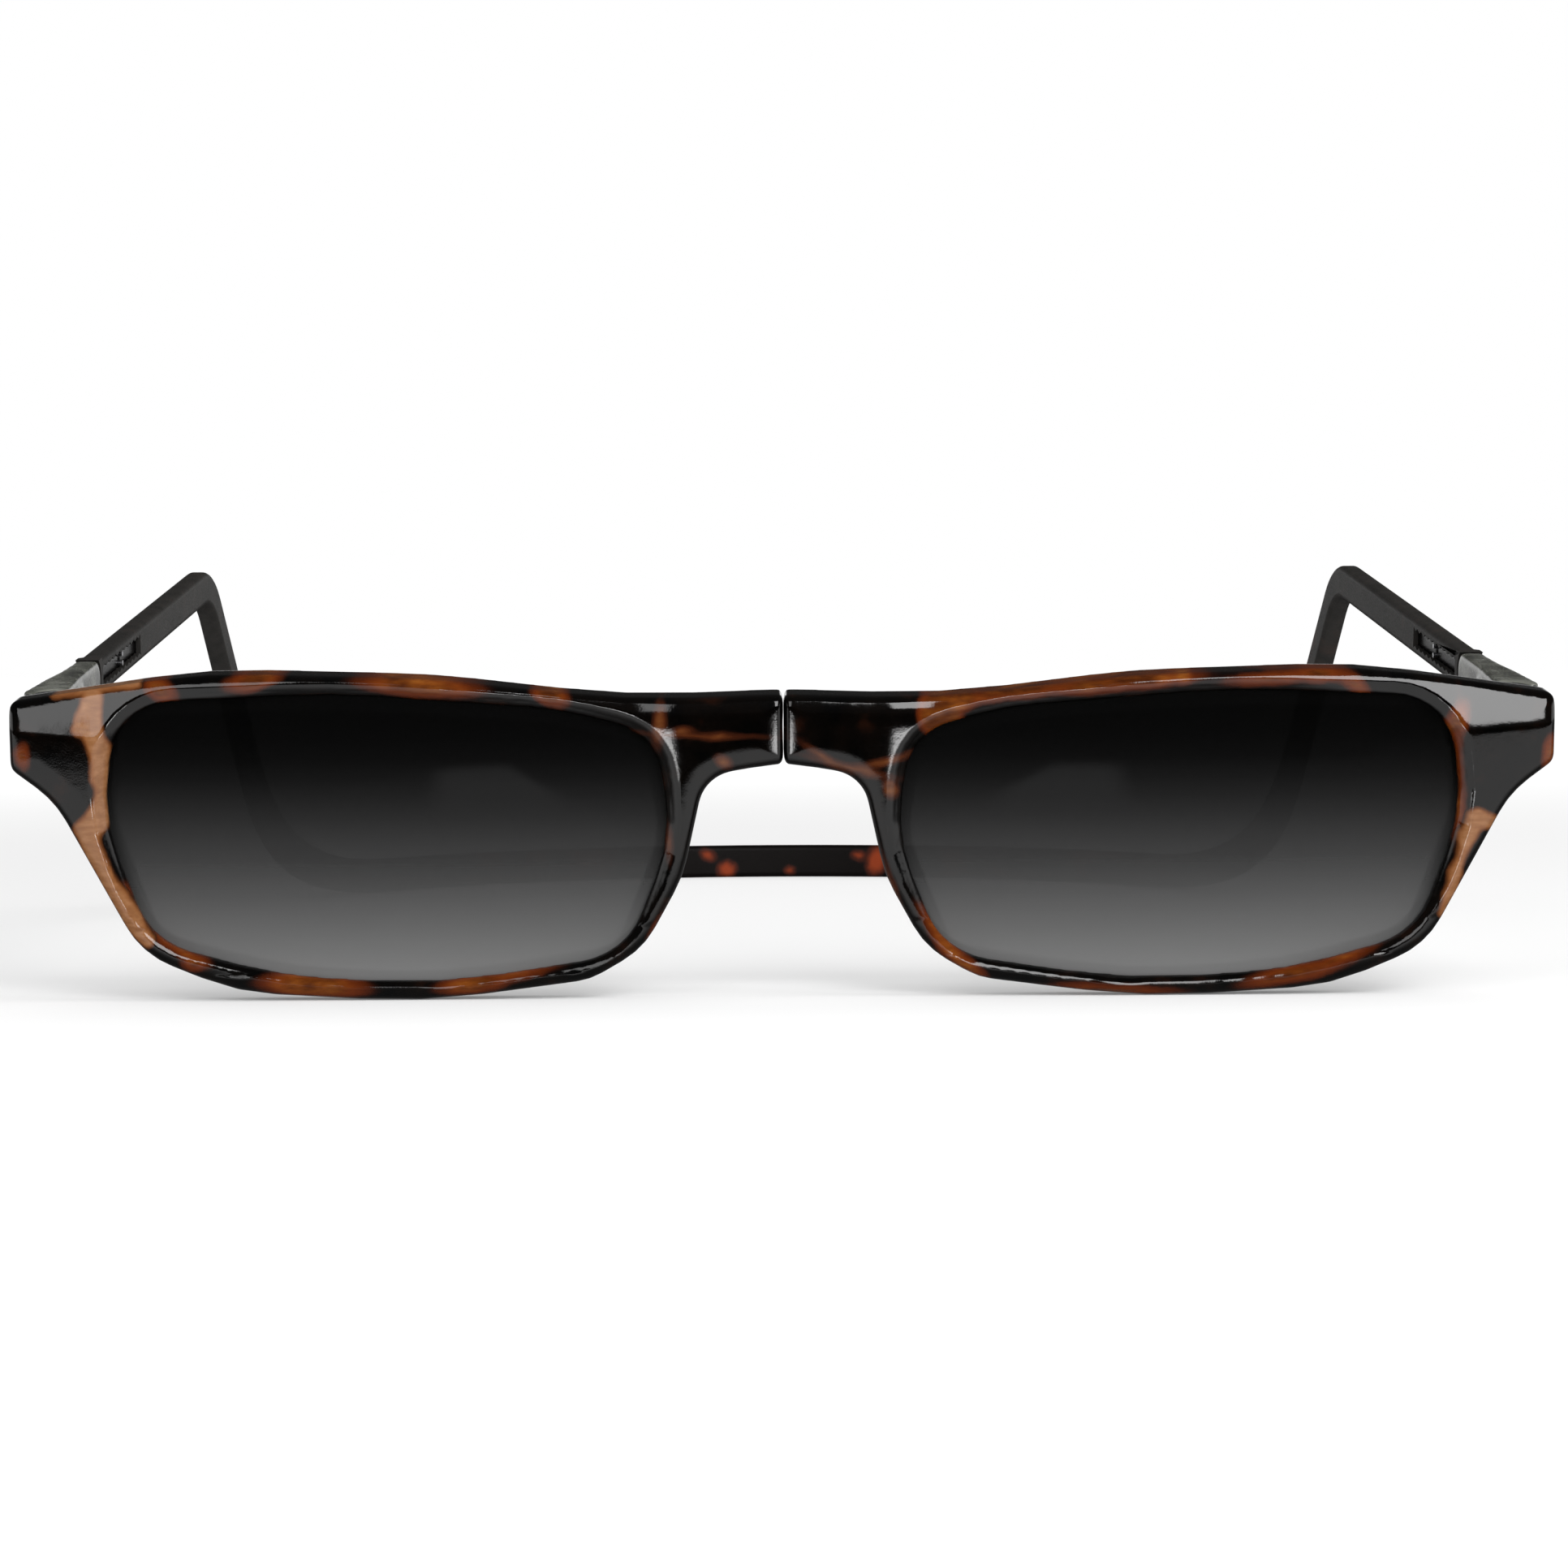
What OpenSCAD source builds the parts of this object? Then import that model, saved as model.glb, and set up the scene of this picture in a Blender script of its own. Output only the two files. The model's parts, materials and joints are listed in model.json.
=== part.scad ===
// Reading sunglasses that part at the bridge: two half fronts held together by magnets,
// each on a hinged adjuster that slides in the end of a one-piece headband.
// Millimetres. +X is the viewer's right, +Y runs back, +Z is up.
// They stand as they do on a table, on the rims' lower edges and the back of the band.

/* [Front] */
// Half the gap between the two halves at the bridge
part_gap = 0.25; // [0.2:0.05:0.5]
// Depth of the rims from front to back
rim_depth = 5; // [4.6:0.1:6]
// How far the front bevel comes in at the face
bevel = 0.7; // [0.3:0.1:0.8]
// How far the lens opening's chamfer widens at the face
lens_chamfer = 0.5; // [0.2:0.1:0.7]
// Outer side of the end piece, from the middle
end_x = 68.6; // [68:0.2:70]
// Lowest point of the end piece above the rim's bottom
end_low = 21; // [20.4:0.1:21.4]
// Highest point of the end piece at its outer side
end_high = 27; // [26.4:0.1:27.4]
// Height of the bridge's lower edge
bridge_low = 21.15; // [20.8:0.05:21.8]
// Height of the bridge's upper edge
bridge_high = 27.35; // [26.8:0.05:27.8]
// Radius of the bridge's corners at the parting
bridge_r = 0.85; // [0.8:0.05:1.2]

/* [Lens] */
// Thickness of the lens
lens_t = 1.6; // [1.2:0.1:1.8]
// Radius of the lens's front surface
lens_r = 260; // [220:10:400]
// How far the lens's edge reaches into the rim
lens_bite = 0.5; // [0.3:0.1:0.7]
// Foremost point of the lens behind the face of the rim
lens_set = 0.8; // [0.6:0.1:1]

/* [Magnet] */
// Diameter of the magnet in each half of the bridge
magnet_d = 3.2; // [2.4:0.2:3.6]
// Length of the magnet
magnet_len = 3.6; // [2:0.2:5]
// Thickness of the lip that keeps the magnet in
magnet_lip = 0.4; // [0.3:0.05:0.6]

/* [Hinge] */
// Hinge axis, inwards from the outer side of the end piece
hinge_in = 3.4; // [3.2:0.1:3.6]
// Hinge axis, behind the face of the rim
hinge_y = 7; // [6.9:0.05:7.2]
// Radius of the knuckles
knuckle_r = 2; // [1.7:0.05:2]
// Height of each knuckle
knuckle_h = 1.6; // [1.2:0.1:1.7]
// Diameter of the hinge screw's shank
screw_d = 1.4; // [1:0.1:1.6]
// Diameter of the hinge screw's head
screw_head_d = 2.4; // [2:0.1:2.8]
// Thickness of the hinge leaves
leaf_t = 0.8; // [0.6:0.1:1]
// How far the front leaf reaches inwards from the hinge axis
leaf_in = 5.6; // [4.6:0.2:6]
// How far it reaches outwards
leaf_out = 0.8; // [0.6:0.1:1]
// Length of the tang let into the adjuster
tang_len = 12; // [10:0.5:13]
// Height of that tang
tang_h = 1.4; // [1.2:0.1:1.5]

/* [Adjuster] */
// Height of the adjuster's wide front end
adjuster_front_h = 5.2; // [4.6:0.1:5.4]
// How far the adjuster's front end reaches inwards from the middle of the arm
adjuster_in = 1.5; // [1.2:0.1:1.8]
// How far its cheek stands out from the middle of the arm
cheek_out = 1.9; // [1.6:0.1:2.2]
// Where the cheek starts to narrow, behind the face of the rim
cheek_y = 13; // [12:0.5:15]
// Where the adjuster has narrowed to the height of the arm
neck_y = 20; // [18:0.5:22]
// How much the neck is still wider than the arm there
neck_flare = 0.2; // [0.1:0.05:0.4]
// Thickness of the tongue that slides in the sleeve
tongue_t = 1.1; // [0.8:0.1:1.3]
// Height of the tongue
tongue_h = 2.2; // [1.9:0.1:2.4]
// Length of the tongue behind the adjuster's round end
tongue_len = 32; // [26:1:36]
// Diameter of the two detent pins
pin_d = 0.5; // [0.4:0.05:0.55]
// Distance between the two detent pins
pin_space = 0.9; // [0.7:0.05:0.95]

/* [Headband] */
// Middle of the arm, outwards from the hinge axis
arm_out = 0.7; // [0.5:0.1:1]
// Angle by which each arm runs inwards
arm_toe = 2; // [1.4:0.1:2.4]
// Height of the middle of the arm above the rim's bottom, square to the arm
arm_z = 25.2; // [24.8:0.1:25.8]
// Thickness of the arms and band
band_t = 2.2; // [2.2:0.1:2.8]
// Height of the arms
arm_h = 3.6; // [3.5:0.1:4.4]
// Height of the band behind the head
band_h = 4.2; // [3.8:0.1:5]
// Front end of the sleeve, along the arm
sleeve_start = 26; // [24:0.5:28]
// Where the arm starts to bend down behind the ear
ear_y = 92; // [86:1:98]
// Radius of that bend
ear_r = 15; // [10:0.5:18]
// Angle at which the band drops behind the ear
drop_angle = 33; // [28:1:36]
// Radius of the bend where the band levels out
foot_r = 60; // [40:2:66]
// Where the straight sides end and the turn round the head starts
side_end = 126; // [118:1:134]
// Back of the band, behind the foot of the rims
back_y = 196.5; // [186:0.5:206]

/* [Slot] */
// Distance from the sleeve's front to the toothed slot
slot_gap = 3; // [2:0.5:5]
// Length of the toothed slot
slot_len = 22; // [18:1:26]
// Height of the slot between the teeth
slot_h = 1.5; // [1.5:0.05:1.7]
// Distance from one tooth to the next
tooth_pitch = 2; // [1.6:0.1:2.4]
// Depth of each tooth
tooth_depth = 0.3; // [0.2:0.05:0.3]

/* [Standing] */
// Angle by which the front leans forward and the arms rise
lean = 8; // [6:0.5:9]

/* [Fits] */
// Clearance all round the tongue in its channel
slide_gap = 0.06; // [0.04:0.01:0.1]
// Radial clearance of the screw in the knuckles
screw_gap = 0.05; // [0.03:0.01:0.08]
// Gap between one knuckle and the next
knuckle_gap = 0.1; // [0.05:0.05:0.2]
// Gap between the adjuster's round end and the sleeve
seat_gap = 0.15; // [0.1:0.05:0.3]
// Clearance of glued and pressed pieces in their seats
fit_gap = 0.04; // [0.02:0.01:0.08]

/* [Hidden] */

shell_color = "#1c120c";
adjuster_color = "#8f908a";
lens_color = "#2a2a2a";
metal_color = "#c0c0c4";
round_fn = 64;
arc_step = 12;

// Corners of the half front, clockwise from the bridge's top: x, z and fillet radius
front_corners = [
  [part_gap, bridge_high, bridge_r], [14, 26.9, 80], [31, 28.9, 80], [51, 29.5, 60],
  [end_x, end_high, 0.9], [end_x, end_low, 1.2], [end_x - 3.8, 18.1, 9], [57.5, 4.2, 8],
  [49, 0.6, 20], [32.5, -0.4, 60], [17.4, 1.5, 6], [12.6, 4.3, 8],
  [9, 10.9, 12], [7, 20, 3.6], [part_gap, bridge_low, bridge_r]];

// Corners of the lens opening, clockwise from its upper inner corner
lens_corners = [
  [11.3, 23.9, 5.5], [20, 26.2, 30], [40, 27.7, 80], [58.9, 26.9, 6],
  [60.9, 17, 17], [56.6, 5.2, 7], [45, 2.1, 40], [31, 1.3, 60],
  [14.2, 3.7, 7], [9.9, 14.5, 15]];

// Point inside both outlines from which every part of them is seen
middle = [35, 18];

// Points of a fillet that follows its corner when the outline grows by g
function unit(v) = v / norm(v);
function outward(a, b) = [a.y - b.y, b.x - a.x] / norm([b.x - a.x, b.y - a.y]);
function flat2(p) = [p.x, p.y];
function turn(u, v) = u.x * v.y - u.y * v.x;
function fillet(a, p, b, r, g) =
  let (n1 = outward(a, p), n2 = outward(p, b))
  let (side = turn(n1, n2) < 0 ? 1 : -1)
  let (centre = p - side * r * (n1 + n2) / (1 + n1 * n2))
  let (sweep = acos(min(1, n1 * n2)))
  let (count = max(2, ceil(sweep / arc_step)))
  [for (i = [0:count])
    let (t = sweep * i / count)
    centre + (side * r + g) * (n1 * sin(sweep - t) + n2 * sin(t)) / sin(sweep)];

// Outline with filleted corners, grown outwards by g
function outline(corners, g) =
  let (count = len(corners))
  [for (i = [0:count - 1])
    let (a = flat2(corners[(i + count - 1) % count]))
    let (b = flat2(corners[(i + 1) % count]))
    each fillet(a, flat2(corners[i]), b, corners[i][2], g)];

// How far the rim's edge is drawn in at each depth: y and growth
rim_sections = [
  [0, -bevel], [0.15, -bevel * 0.6], [0.45, -bevel * 0.26], [1, -0.03], [1.5, 0],
  [rim_depth - 0.6, 0], [rim_depth - 0.2, -0.15], [rim_depth, -0.45]];

// Where the front stands once it leans: its lowest point is on the table
stand_z = -min([for (s = rim_sections, p = outline(front_corners, s.y)) s.x * sin(lean) + p.y * cos(lean)]);
front_y = min([for (s = rim_sections, p = outline(front_corners, s.y)) s.x * cos(lean) - p.y * sin(lean)]);
centre_y = (front_y + back_y + band_t / 2) / 2;

// Hinge axis and its stack of knuckles, from the middle of the end piece
hinge_x = end_x - hinge_in;
arm_x = hinge_x + arm_out;
hinge_z = (end_low + end_high) / 2 + 0.35;
knuckle_pitch = knuckle_h + knuckle_gap;
hinge_top = hinge_z + knuckle_pitch + knuckle_h / 2;
hinge_bottom = hinge_z - knuckle_pitch - knuckle_h / 2;
relief_r = knuckle_r + 0.3;
butt_gap = 0.2;
lip_inset = 0.2;
butt_y = hinge_y + 0.4;
leaf_h = hinge_top - hinge_bottom;
tang_y = hinge_y + 0.6;
tang_x = -0.9;
// Bodies that cut right through reach this far
far = back_y + band_t;

// Path of the arm and band seen from the side, in the standing frame: y, z and half height
ear_point = [ear_y * cos(lean) - arm_z * sin(lean), ear_y * sin(lean) + arm_z * cos(lean) + stand_z];
ear_centre = ear_point + ear_r * [sin(lean), -cos(lean)];
ear_end = ear_centre + ear_r * [sin(drop_angle), cos(drop_angle)];
foot_z = band_h / 2 + foot_r * (1 - cos(drop_angle));
foot_start = [ear_end.x + (ear_end.y - foot_z) / tan(drop_angle), foot_z];
foot_centre = foot_start + foot_r * [sin(drop_angle), cos(drop_angle)];
start_y = sleeve_start / 2;
start_point = [start_y * cos(lean) - arm_z * sin(lean), start_y * sin(lean) + arm_z * cos(lean) + stand_z];
side_path = concat(
  [[start_point.x, start_point.y, arm_h / 2, lean]],
  [for (a = [0:5:lean + drop_angle])
    [ear_centre.x + ear_r * sin(a - lean), ear_centre.y + ear_r * cos(a - lean), arm_h / 2, lean - a]],
  [[ear_end.x, ear_end.y, arm_h / 2, -drop_angle]],
  [for (a = [drop_angle:-5:1])
    [foot_centre.x - foot_r * sin(a), foot_centre.y - foot_r * cos(a), band_h / 2, -a]],
  [[foot_centre.x, band_h / 2, band_h / 2, 0], [back_y + band_h, band_h / 2, band_h / 2, 0]]);

// Path of the arm and band seen from above: a straight arm that runs inwards, then one
// curve that turns round the back of the head
toe_start = [arm_x - (side_end - hinge_y) * tan(arm_toe), side_end];
round_pull = 0.55;
side_pull = round_pull * (back_y - side_end) * [-tan(arm_toe), 1];
back_turn = [toe_start, toe_start + side_pull, [round_pull * toe_start.x, back_y], [0, back_y]];
turn_steps = 24;
function on_curve(p, t) =
  (1 - t) ^ 3 * p[0] + 3 * (1 - t) ^ 2 * t * p[1] + 3 * (1 - t) * t ^ 2 * p[2] + t ^ 3 * p[3];
function heading(p, t) =
  unit((1 - t) ^ 2 * (p[1] - p[0]) + 2 * (1 - t) * t * (p[2] - p[1]) + t ^ 2 * (p[3] - p[2]));
function plan_edge(grow) = concat(
  [[arm_x + hinge_y * tan(arm_toe) + grow / cos(arm_toe), 0]],
  [for (i = [0:turn_steps])
    let (t = i / turn_steps, way = heading(back_turn, t))
    on_curve(back_turn, t) + grow * [way.y, -way.x]]);

// Places and turns
module in_place() { translate([0, -centre_y, 0]) children(); }
module leaning() { in_place() translate([0, 0, stand_z]) rotate([lean, 0, 0]) children(); }
module along_arm() {
  in_place() translate([arm_x, hinge_y, 0]) rotate([0, 0, arm_toe])
    translate([0, -hinge_y, stand_z]) rotate([lean, 0, 0]) translate([0, 0, arm_z]) children();
}
module left_side() { mirror([1, 0, 0]) children(); }
module through_y(y0, y1) { translate([0, y1, 0]) rotate([90, 0, 0]) linear_extrude(y1 - y0) children(); }

// Solid whose outline changes from one depth to the next, closed by fans about the middle
module loft(corners, sections) {
  rings = [for (s = sections) [for (p = outline(corners, s.y)) [p.x, s.x, p.y]]];
  n = len(rings[0]);
  last = len(rings) - 1;
  ends = [for (s = [sections[0], sections[last]]) [middle.x, s.x, middle.y]];
  points = concat([for (ring = rings) each ring], ends);
  front_end = len(points) - 2;
  walls = [for (k = [0:last - 1], i = [0:n - 1])
    let (j = (i + 1) % n)
    [k * n + i, (k + 1) * n + i, (k + 1) * n + j, k * n + j]];
  front = [for (i = [0:n - 1]) [front_end, i, (i + 1) % n]];
  back = [for (i = [0:n - 1]) [front_end + 1, last * n + (i + 1) % n, last * n + i]];
  polyhedron(points, concat(front, back, walls));
}

// Lens blank with a margin all round, used for the lens and for its groove
module lens_blank(margin) {
  centre = [(lens_corners[0].x + lens_corners[3].x) / 2, 0, (lens_corners[2].y + lens_corners[7].y) / 2];
  intersection() {
    through_y(0, rim_depth) polygon(outline(lens_corners, lens_bite + margin));
    difference() {
      translate(centre + [0, lens_set - margin + lens_r, 0]) sphere(lens_r, $fn = 360);
      translate(centre + [0, lens_set + lens_t + margin + lens_r, 0]) sphere(lens_r, $fn = 360);
    }
  }
}

// Cylinder on the hinge axis
module on_axis(r, z0, z1) { translate([hinge_x, hinge_y, z0]) cylinder(h = z1 - z0, r = r, $fn = round_fn); }

// Leaf of the front hinge, let into the back of the end piece
module front_leaf(margin) {
  translate([hinge_x - leaf_in, rim_depth - leaf_t - margin, hinge_z - leaf_h / 2 - margin])
    cube([leaf_in + leaf_out, leaf_t + margin + 0.01, leaf_h + 2 * margin]);
}

module magnet_body(margin) {
  translate([part_gap + 0.2 - margin, rim_depth / 2, (bridge_low + bridge_high) / 2])
    rotate([0, 90, 0]) cylinder(h = magnet_len + 2 * margin, r = magnet_d / 2 + margin, $fn = round_fn);
}

// One half of the front: rim, half bridge and end piece
module front_frame() {
  color(shell_color) leaning() difference() {
    union() {
      loft(front_corners, rim_sections);
      // Outer lip that covers the hinge and meets the adjuster when the front is closed
      intersection() {
        loft(front_corners, [[rim_depth - 1.5, -lip_inset], [butt_y - 0.3, -lip_inset], [butt_y, -0.5]]);
        translate([hinge_x + relief_r + 0.05, rim_depth / 2, 0]) cube([far, far, far]);
      }
    }
    loft(lens_corners, [[-1, lens_chamfer], [0.02, lens_chamfer], [0.7, -0.1], [rim_depth + 1, -0.1]]);
    lens_blank(fit_gap);
    magnet_body(fit_gap);
    translate([-1, rim_depth / 2, (bridge_low + bridge_high) / 2])
      rotate([0, 90, 0]) cylinder(h = part_gap + 2, r = magnet_d / 2 - magnet_lip, $fn = round_fn);
    front_leaf(fit_gap);
    on_axis(relief_r, 0, far);
  }
}

module lens() {
  color(lens_color) leaning() lens_blank(0);
}

module magnet() {
  color(metal_color) leaning() magnet_body(0);
}

// Leaf with the upper and lower knuckles
module front_hinge() {
  color(metal_color) leaning() difference() {
    union() {
      front_leaf(0);
      for (z = [hinge_bottom, hinge_top - knuckle_h]) {
        on_axis(knuckle_r, z, z + knuckle_h);
        translate([hinge_x - 1.2, rim_depth - leaf_t, z]) cube([2, leaf_t + 1.5, knuckle_h]);
      }
    }
    on_axis(screw_d / 2 + screw_gap, 0, far);
    on_axis(screw_head_d / 2 + screw_gap, hinge_top - 0.8, far);
    // Room for the middle knuckle
    on_axis(relief_r, hinge_bottom + knuckle_h, hinge_top - knuckle_h);
  }
}

module hinge_screw() {
  color(metal_color) leaning() difference() {
    union() {
      on_axis(screw_d / 2, hinge_bottom, hinge_top - 0.7);
      on_axis(screw_head_d / 2, hinge_top - 0.75, hinge_top - 0.05);
    }
    // Driver slot across the head
    translate([hinge_x, hinge_y, hinge_top]) rotate([0, 0, 35]) cube([0.35, 4, 0.8], center = true);
  }
}

// Tang of the hinge that is let into the adjuster, seen along the arm
module temple_tang(margin) {
  along_arm() translate([tang_x - margin, tang_y, hinge_z - arm_z - tang_h / 2 - margin])
    cube([leaf_t + 2 * margin, tang_len + margin, tang_h + 2 * margin]);
}

// Tang with the middle knuckle
module temple_hinge() {
  color(metal_color) difference() {
    union() {
      leaning() on_axis(knuckle_r, hinge_z - knuckle_h / 2, hinge_z + knuckle_h / 2);
      temple_tang(0);
    }
    leaning() on_axis(screw_d / 2 + screw_gap, 0, far);
  }
}

// Adjuster seen from above and from the side, before its hinge and pins are cut
adjuster_plan = [
  [-adjuster_in, butt_y + butt_gap], [end_x - arm_x - 0.6, butt_y + butt_gap],
  [end_x - arm_x - 0.3, butt_y + butt_gap + 0.5], [cheek_out, cheek_y + 2],
  [band_t / 2 + neck_flare, neck_y], [band_t / 2, sleeve_start - 2], [band_t / 2, sleeve_start + arm_h],
  [-band_t / 2, sleeve_start + arm_h], [-band_t / 2, neck_y - 2]];
front_mid = hinge_z - arm_z;
adjuster_side = [
  [butt_y, front_mid - adjuster_front_h / 2], [butt_y, front_mid + adjuster_front_h / 2],
  [cheek_y, front_mid + adjuster_front_h / 2], [neck_y, arm_h / 2],
  [sleeve_start, arm_h / 2], [sleeve_start, -arm_h / 2], [neck_y, -arm_h / 2 - neck_flare],
  [cheek_y, front_mid - adjuster_front_h / 2 + neck_flare]];

// Drum across the arm: the round end of the adjuster and the hollow that takes it
module end_drum(r, half) {
  translate([-half, sleeve_start, 0]) rotate([0, 90, 0]) cylinder(h = 2 * half, r = r, $fn = round_fn);
}

module slide_box(margin, length) {
  translate([-tongue_t / 2 - margin, sleeve_start, -tongue_h / 2 - margin])
    cube([tongue_t + 2 * margin, length, tongue_h + 2 * margin]);
}

pin_y = sleeve_start + slot_gap + slot_len / 2 + 0.5;
pin_half = band_t / 2 - 0.15;
module pin_bodies(margin) {
  for (side = [-1, 1])
    translate([-pin_half, pin_y, side * pin_space / 2]) rotate([0, 90, 0])
      translate([0, 0, -margin]) cylinder(h = pin_half + tongue_t / 4 + 2 * margin, r = pin_d / 2 + margin, $fn = 32);
}

module adjuster() {
  color(adjuster_color) difference() {
    along_arm() difference() {
      union() {
        intersection() {
          translate([0, 0, -far / 2]) linear_extrude(far) polygon(adjuster_plan);
          translate([-far / 2, 0, 0]) rotate([90, 0, 90]) linear_extrude(far) polygon(adjuster_side);
        }
        end_drum(arm_h / 2, band_t / 2);
        slide_box(0, tongue_len);
      }
      pin_bodies(fit_gap);
    }
    temple_tang(fit_gap);
    // Room for the knuckles
    leaning() on_axis(relief_r, 0, far);
  }
}

module detent_pins() {
  color(metal_color) along_arm() pin_bodies(0);
}

// Window in the sleeve's inner face with teeth along both edges
module toothed_window() {
  teeth = floor(slot_len / tooth_pitch);
  y0 = sleeve_start + slot_gap;
  upper = [for (i = [0:teeth - 1], k = [0, 1]) [y0 + (i + k / 2) * tooth_pitch, slot_h / 2 + k * tooth_depth]];
  lower = [for (i = [2 * teeth - 1:-1:0]) [upper[i].x, -upper[i].y]];
  translate([-band_t, 0, 0]) rotate([90, 0, 90]) linear_extrude(band_t) polygon(concat(upper, lower));
}

function upper_edge(p) = [p[0] - p[2] * sin(p[3]), p[1] + p[2] * cos(p[3])];
function lower_edge(p) = [p[0] + p[2] * sin(p[3]), p[1] - p[2] * cos(p[3])];
last_point = len(side_path) - 1;

// Half of the headband: a strip that follows the path seen from above and the one from the side
module band_strip() {
  outer = plan_edge(band_t / 2);
  inner = plan_edge(-band_t / 2);
  upper = [for (p = side_path) upper_edge(p)];
  lower = [for (i = [last_point:-1:0]) lower_edge(side_path[i])];
  in_place() intersection() {
    linear_extrude(far) polygon(concat(outer, [for (i = [len(inner) - 1:-1:0]) inner[i]]));
    translate([-1, 0, 0]) rotate([90, 0, 90]) linear_extrude(far) polygon(concat(upper, lower));
  }
}

module half_headband() {
  difference() {
    band_strip();
    along_arm() {
      end_drum(arm_h / 2 + seat_gap, band_t);
      translate([-arm_x / 2, 0, -far / 2]) cube([arm_x, sleeve_start, far]);
      slide_box(slide_gap, tongue_len + 1);
      toothed_window();
    }
  }
}

module headband() {
  color(shell_color) union() {
    half_headband();
    left_side() half_headband();
  }
}

module left_adjuster() { left_side() adjuster(); }
module right_adjuster() { adjuster(); }
module left_detent_pins() { left_side() detent_pins(); }
module right_detent_pins() { detent_pins(); }
module left_temple_hinge() { left_side() temple_hinge(); }
module right_temple_hinge() { temple_hinge(); }
module left_front_frame() { left_side() front_frame(); }
module right_front_frame() { front_frame(); }
module left_lens() { left_side() lens(); }
module right_lens() { lens(); }
module left_front_hinge() { left_side() front_hinge(); }
module right_front_hinge() { front_hinge(); }
module left_hinge_screw() { left_side() hinge_screw(); }
module right_hinge_screw() { hinge_screw(); }
module left_magnet() { left_side() magnet(); }
module right_magnet() { magnet(); }

headband();
left_adjuster();
right_adjuster();
left_detent_pins();
right_detent_pins();
left_temple_hinge();
right_temple_hinge();
left_front_frame();
right_front_frame();
left_lens();
right_lens();
left_front_hinge();
right_front_hinge();
left_hinge_screw();
right_hinge_screw();
left_magnet();
right_magnet();
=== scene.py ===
# %% [markdown]
# # Reading sunglasses that part at the bridge
# The construction comes packed from CAD and stays where it is. This lesson gives the pieces
# their looks: the two half fronts and the headband in polished tortoiseshell, the grey
# adjusters, the graduated lenses and the small steel and nickel pieces.
# Everything is in metres, in the frame of the CAD model: +X to the right, +Y to the back.

# %% Load the frame
import json
import math

import bmesh
import bpy
import numpy as np
from mathutils import Matrix, Vector


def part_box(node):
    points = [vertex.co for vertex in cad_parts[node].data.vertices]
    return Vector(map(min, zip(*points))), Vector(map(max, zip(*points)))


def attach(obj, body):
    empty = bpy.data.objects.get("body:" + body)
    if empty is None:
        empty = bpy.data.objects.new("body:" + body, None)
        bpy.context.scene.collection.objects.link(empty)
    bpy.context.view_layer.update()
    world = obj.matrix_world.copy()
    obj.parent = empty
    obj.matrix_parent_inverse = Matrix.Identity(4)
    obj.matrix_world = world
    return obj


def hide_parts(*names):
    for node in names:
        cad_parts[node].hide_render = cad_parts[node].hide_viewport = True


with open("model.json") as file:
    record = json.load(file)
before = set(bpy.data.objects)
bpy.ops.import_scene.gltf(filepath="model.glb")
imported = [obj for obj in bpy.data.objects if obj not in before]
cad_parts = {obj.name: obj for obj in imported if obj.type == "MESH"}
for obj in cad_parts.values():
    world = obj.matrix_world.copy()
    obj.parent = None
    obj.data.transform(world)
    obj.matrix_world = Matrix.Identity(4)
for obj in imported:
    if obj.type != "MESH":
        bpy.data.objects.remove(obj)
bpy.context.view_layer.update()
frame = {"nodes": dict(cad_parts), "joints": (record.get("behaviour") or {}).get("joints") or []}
nodes = frame["nodes"]
MM = 0.001

# %% [markdown]
# ## The front's own frame
# The glasses stand on the lower edges of the rims, so the front leans forward. The hinge axes
# lean with it, and they say by how much. Work on the front is easier upright, so a function
# turns points into the front's own frame: there y is the depth behind the face and z the height
# above the rims' lowest point.

# %% Front frame from the hinge axis
joints = {joint["name"]: joint for joint in frame["joints"]}
fold_axis = joints["left_fold"]["axis"]
LEAN = math.atan2(-fold_axis[1], fold_axis[2])
TURN = Matrix.Rotation(LEAN, 3, "X")


def front_origin():
    """Point at x 0 on the face plane, level with the rims' lowest point."""
    points = [TURN.transposed() @ v.co for v in nodes["left_front_frame"].data.vertices]
    return TURN @ Vector((0, min(p.y for p in points), min(p.z for p in points)))


ORIGIN = front_origin()


def to_front(point):
    return TURN.transposed() @ (point - ORIGIN)


print("lean:", round(math.degrees(LEAN), 2), "origin:", [round(v, 5) for v in ORIGIN])

# %% [markdown]
# ## Camera
# The photo was taken with a long lens, almost level with the rims, from a little to the left
# of the middle. The distance decides how small the band looks behind the rims.

# %% Camera
IMAGE_PX = 1932
FOCAL_PX = 5386.0
SENSOR_MM = 36
CLIP_START = 0.01
CAMERA_SPOT = Vector((-0.00397, -0.48682, 0.03256))
PITCH_DOWN, YAW, ROLL = 1.968, 0.59, -0.333


def make_camera():
    data = bpy.data.cameras.new("Camera")
    camera = bpy.data.objects.new("Camera", data)
    bpy.context.scene.collection.objects.link(camera)
    down, yaw, roll = (math.radians(a) for a in (PITCH_DOWN, YAW, ROLL))
    ahead = Vector((math.sin(yaw) * math.cos(down), math.cos(yaw) * math.cos(down),
                    -math.sin(down)))
    right = Vector((math.cos(yaw), -math.sin(yaw), 0))
    up = right.cross(ahead)
    side = right * math.cos(roll) + up * math.sin(roll)
    top = up * math.cos(roll) - right * math.sin(roll)
    camera.matrix_world = Matrix((side, top, -ahead)).transposed().to_4x4()
    camera.location = CAMERA_SPOT
    data.sensor_width = SENSOR_MM
    data.lens = FOCAL_PX / IMAGE_PX * data.sensor_width
    data.clip_start = CLIP_START
    bpy.context.scene.camera = camera
    return camera


camera = make_camera()
print("lens:", round(camera.data.lens, 1), "mm")

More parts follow.
